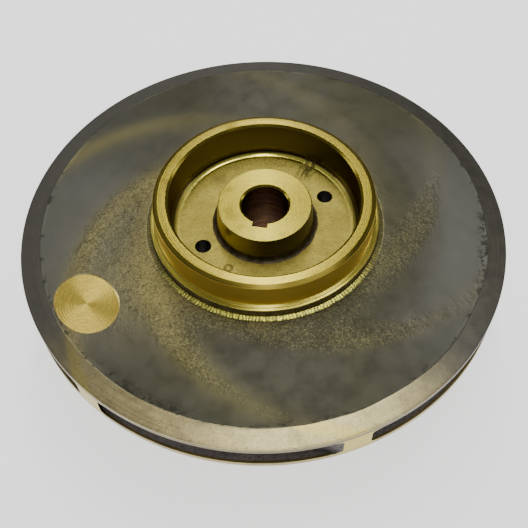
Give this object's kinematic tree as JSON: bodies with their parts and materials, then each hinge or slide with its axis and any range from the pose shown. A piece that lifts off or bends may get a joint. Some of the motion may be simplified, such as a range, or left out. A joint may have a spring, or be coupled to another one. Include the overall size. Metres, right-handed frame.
{
  "type": "centrifugal pump impeller",
  "caption": "Closed cast bronze centrifugal pump impeller with backward curved vanes between two shrouds, a keyed bore and turned sealing rings.",
  "frame": {"origin": "centre of the suction ring's end face, on the bore axis, which is the bottom centre of the bounding box", "axes": "+Z along the bore axis, from the suction side to the hub side. The picture was taken from the -Y side, with +X to its right."},
  "size_m": [0.26, 0.26, 0.0903],
  "materials": {
    "cast_bronze": "cast, dark patina",
    "turned_bronze": "turned",
    "hub_bronze": "turned face, cast side",
    "front_bronze": "cast, dark patina",
    "suction_ring_bronze": "turned",
    "vane_bronze": "cast, tips turned"
  },
  "bodies": {
    "root": {"back_shroud": "cast_bronze", "rear_ring": "turned_bronze", "hub": "hub_bronze", "front_shroud": "front_bronze", "suction_ring": "suction_ring_bronze", "vane_1": "vane_bronze", "vane_2": "vane_bronze", "vane_3": "vane_bronze", "vane_4": "vane_bronze", "vane_5": "vane_bronze", "vane_6": "vane_bronze"}
  },
  "joints": []
}
